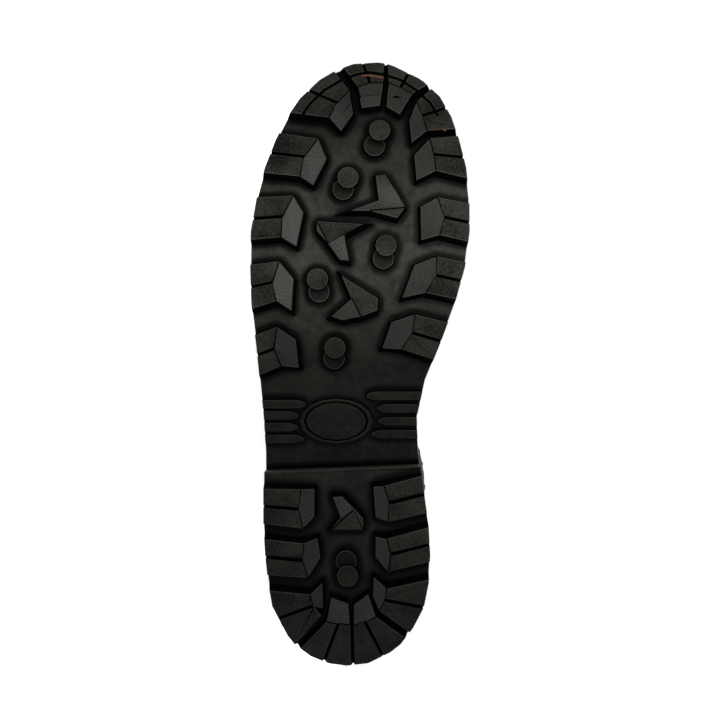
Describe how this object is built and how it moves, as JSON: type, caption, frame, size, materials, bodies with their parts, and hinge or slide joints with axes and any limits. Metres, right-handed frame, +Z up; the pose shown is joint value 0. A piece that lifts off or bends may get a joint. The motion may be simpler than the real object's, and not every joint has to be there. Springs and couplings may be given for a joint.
{
  "type": "insulated boot",
  "caption": "Right-foot insulated lace-up work boot with a lugged rubber outsole, welt, padded collar and tongue, lying on its outer side.",
  "frame": {"origin": "centre of the lying boot's bounding box, on the floor", "axes": "+Y from heel to toe, +X from the tread to the collar, +Z up from the floor the boot lies on with its outer side down"},
  "size_m": [0.2606, 0.3126, 0.1141],
  "materials": {
    "outsole_rubber": "moulded, satin with a fine grain on the treads",
    "welt_leather": "burnished edge",
    "insole_felt": "napped",
    "upper_leather": "oiled full grain",
    "trim_leather": "oiled full grain",
    "cuff_textile": "soft padded leather",
    "loop_webbing": "woven webbing",
    "eyelet_metal": "aged",
    "lace_cord": "braided"
  },
  "bodies": {
    "root": {"outsole": "outsole_rubber", "welt": "welt_leather", "insole": "insole_felt", "upper": "upper_leather", "tongue": "trim_leather", "heel_counter": "trim_leather", "eyestay": "trim_leather", "collar_cuff": "cuff_textile", "pull_loop": "loop_webbing", "lace": "lace_cord", "eyelet_outer_1": "eyelet_metal", "eyelet_inner_1": "eyelet_metal", "eyelet_outer_2": "eyelet_metal", "eyelet_inner_2": "eyelet_metal", "eyelet_outer_3": "eyelet_metal", "eyelet_inner_3": "eyelet_metal", "eyelet_outer_4": "eyelet_metal", "eyelet_inner_4": "eyelet_metal", "eyelet_outer_5": "eyelet_metal", "eyelet_inner_5": "eyelet_metal", "eyelet_outer_6": "eyelet_metal", "eyelet_inner_6": "eyelet_metal", "eyelet_outer_7": "eyelet_metal", "eyelet_inner_7": "eyelet_metal"}
  },
  "joints": []
}
